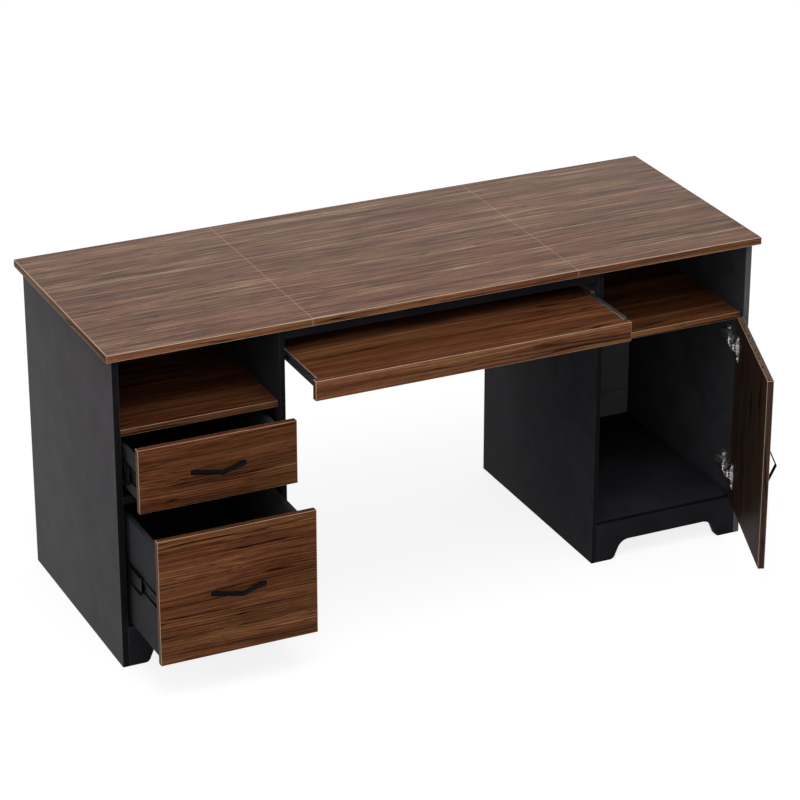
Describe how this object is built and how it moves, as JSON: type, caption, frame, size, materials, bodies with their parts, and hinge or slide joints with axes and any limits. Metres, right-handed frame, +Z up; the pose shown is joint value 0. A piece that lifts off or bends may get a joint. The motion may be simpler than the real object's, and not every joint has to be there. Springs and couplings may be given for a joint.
{
  "type": "executive desk",
  "caption": "Two-pedestal office desk with walnut worktop, drawers and niches, a cupboard, and a pull-out keyboard shelf over the knee space",
  "frame": {"origin": "on the floor, below the middle of the worktop", "axes": "+X along the width to the door's end, -Y towards the user, +Z up"},
  "size_m": [1.6, 0.9389, 0.76],
  "materials": {
    "worktop_walnut": "walnut-grain laminate on particleboard, satin, with lighter edge bands",
    "front_walnut": "redder walnut-grain laminate on particleboard, satin, with lighter edge bands",
    "black_board": "matt black laminate on particleboard",
    "drawer_board": "matt charcoal laminate on particleboard",
    "black_metal": "matt black powder coat on steel strip",
    "dark_steel": "black zinc passivation on rolled steel and screws",
    "zinc_steel": "zinc- or nickel-plated steel"
  },
  "bodies": {
    "carcass": {"top_left_panel": "worktop_walnut", "top_middle_panel": "worktop_walnut", "top_right_panel": "worktop_walnut", "left_outer_side": "black_board", "left_inner_side": "black_board", "left_back_panel": "black_board", "left_rear_rail": "black_board", "left_niche_shelf": "front_walnut", "left_drawer_rail": "black_board", "left_floor_panel": "black_board", "left_front_apron": "black_board", "right_outer_side": "black_board", "right_inner_side": "black_board", "right_back_panel": "black_board", "right_rear_rail": "black_board", "right_niche_shelf": "front_walnut", "right_floor_panel": "black_board", "right_front_apron": "black_board", "knee_front_rail": "black_board", "modesty_panel": "black_board", "upper_slide_cabinet_members": "dark_steel", "file_slide_cabinet_members": "dark_steel", "tray_slide_cabinet_members": "zinc_steel", "hinge_arms": "zinc_steel", "hinge_mounting_plates": "zinc_steel", "hinge_plate_screws": "zinc_steel"},
    "upper_drawer": {"upper_drawer_front": "front_walnut", "upper_drawer_left_side": "drawer_board", "upper_drawer_right_side": "drawer_board", "upper_drawer_back": "drawer_board", "upper_drawer_bottom": "drawer_board", "upper_drawer_pull": "black_metal", "upper_pull_screws": "dark_steel", "upper_slide_drawer_members": "dark_steel"},
    "upper_slide_middles": {"upper_slide_middle_members": "dark_steel"},
    "file_drawer": {"file_drawer_front": "front_walnut", "file_drawer_left_side": "drawer_board", "file_drawer_right_side": "drawer_board", "file_drawer_back": "drawer_board", "file_drawer_bottom": "drawer_board", "file_drawer_pull": "black_metal", "file_pull_screws": "dark_steel", "file_slide_drawer_members": "dark_steel"},
    "file_slide_middles": {"file_slide_middle_members": "dark_steel"},
    "keyboard_tray": {"tray_board": "front_walnut", "tray_front_strip": "front_walnut", "tray_slide_shelf_members": "zinc_steel"},
    "door": {"door_panel": "front_walnut", "door_pull": "black_metal", "door_pull_screws": "dark_steel", "hinge_cups": "zinc_steel", "hinge_cup_screws": "zinc_steel"},
    "hinge_links": {"hinge_links": "zinc_steel"}
  },
  "joints": [
    {"name": "upper_drawer_slide", "type": "slide", "parent": "carcass", "child": "upper_drawer", "axis": [0, -1, 0], "range_m": [-0.0955, 0.3545]},
    {"name": "upper_middle_slide", "type": "slide", "parent": "carcass", "child": "upper_slide_middles", "axis": [0, -1, 0], "range_m": [-0.04775, 0.17725]},
    {"name": "file_drawer_slide", "type": "slide", "parent": "carcass", "child": "file_drawer", "axis": [0, -1, 0], "range_m": [-0.196, 0.254]},
    {"name": "file_middle_slide", "type": "slide", "parent": "carcass", "child": "file_slide_middles", "axis": [0, -1, 0], "range_m": [-0.098, 0.127]},
    {"name": "keyboard_tray_slide", "type": "slide", "parent": "carcass", "child": "keyboard_tray", "axis": [0, -1, 0], "range_m": [-0.16, 0.1]},
    {"name": "door_hinge", "type": "hinge", "parent": "carcass", "child": "door", "pos_m": [0.773, -0.2923, 0.332], "axis": [0, 0, 1], "range_deg": [-70, 40]},
    {"name": "hinge_link_swing", "type": "hinge", "parent": "carcass", "child": "hinge_links", "pos_m": [0.773, -0.2923, 0.332], "axis": [0, 0, 1], "range_deg": [-35, 20]}
  ],
  "couplings": [
    {"joint": "upper_middle_slide", "follows": "upper_drawer_slide", "ratio": 0.5},
    {"joint": "file_middle_slide", "follows": "file_drawer_slide", "ratio": 0.5},
    {"joint": "hinge_link_swing", "follows": "door_hinge", "ratio": 0.5}
  ]
}
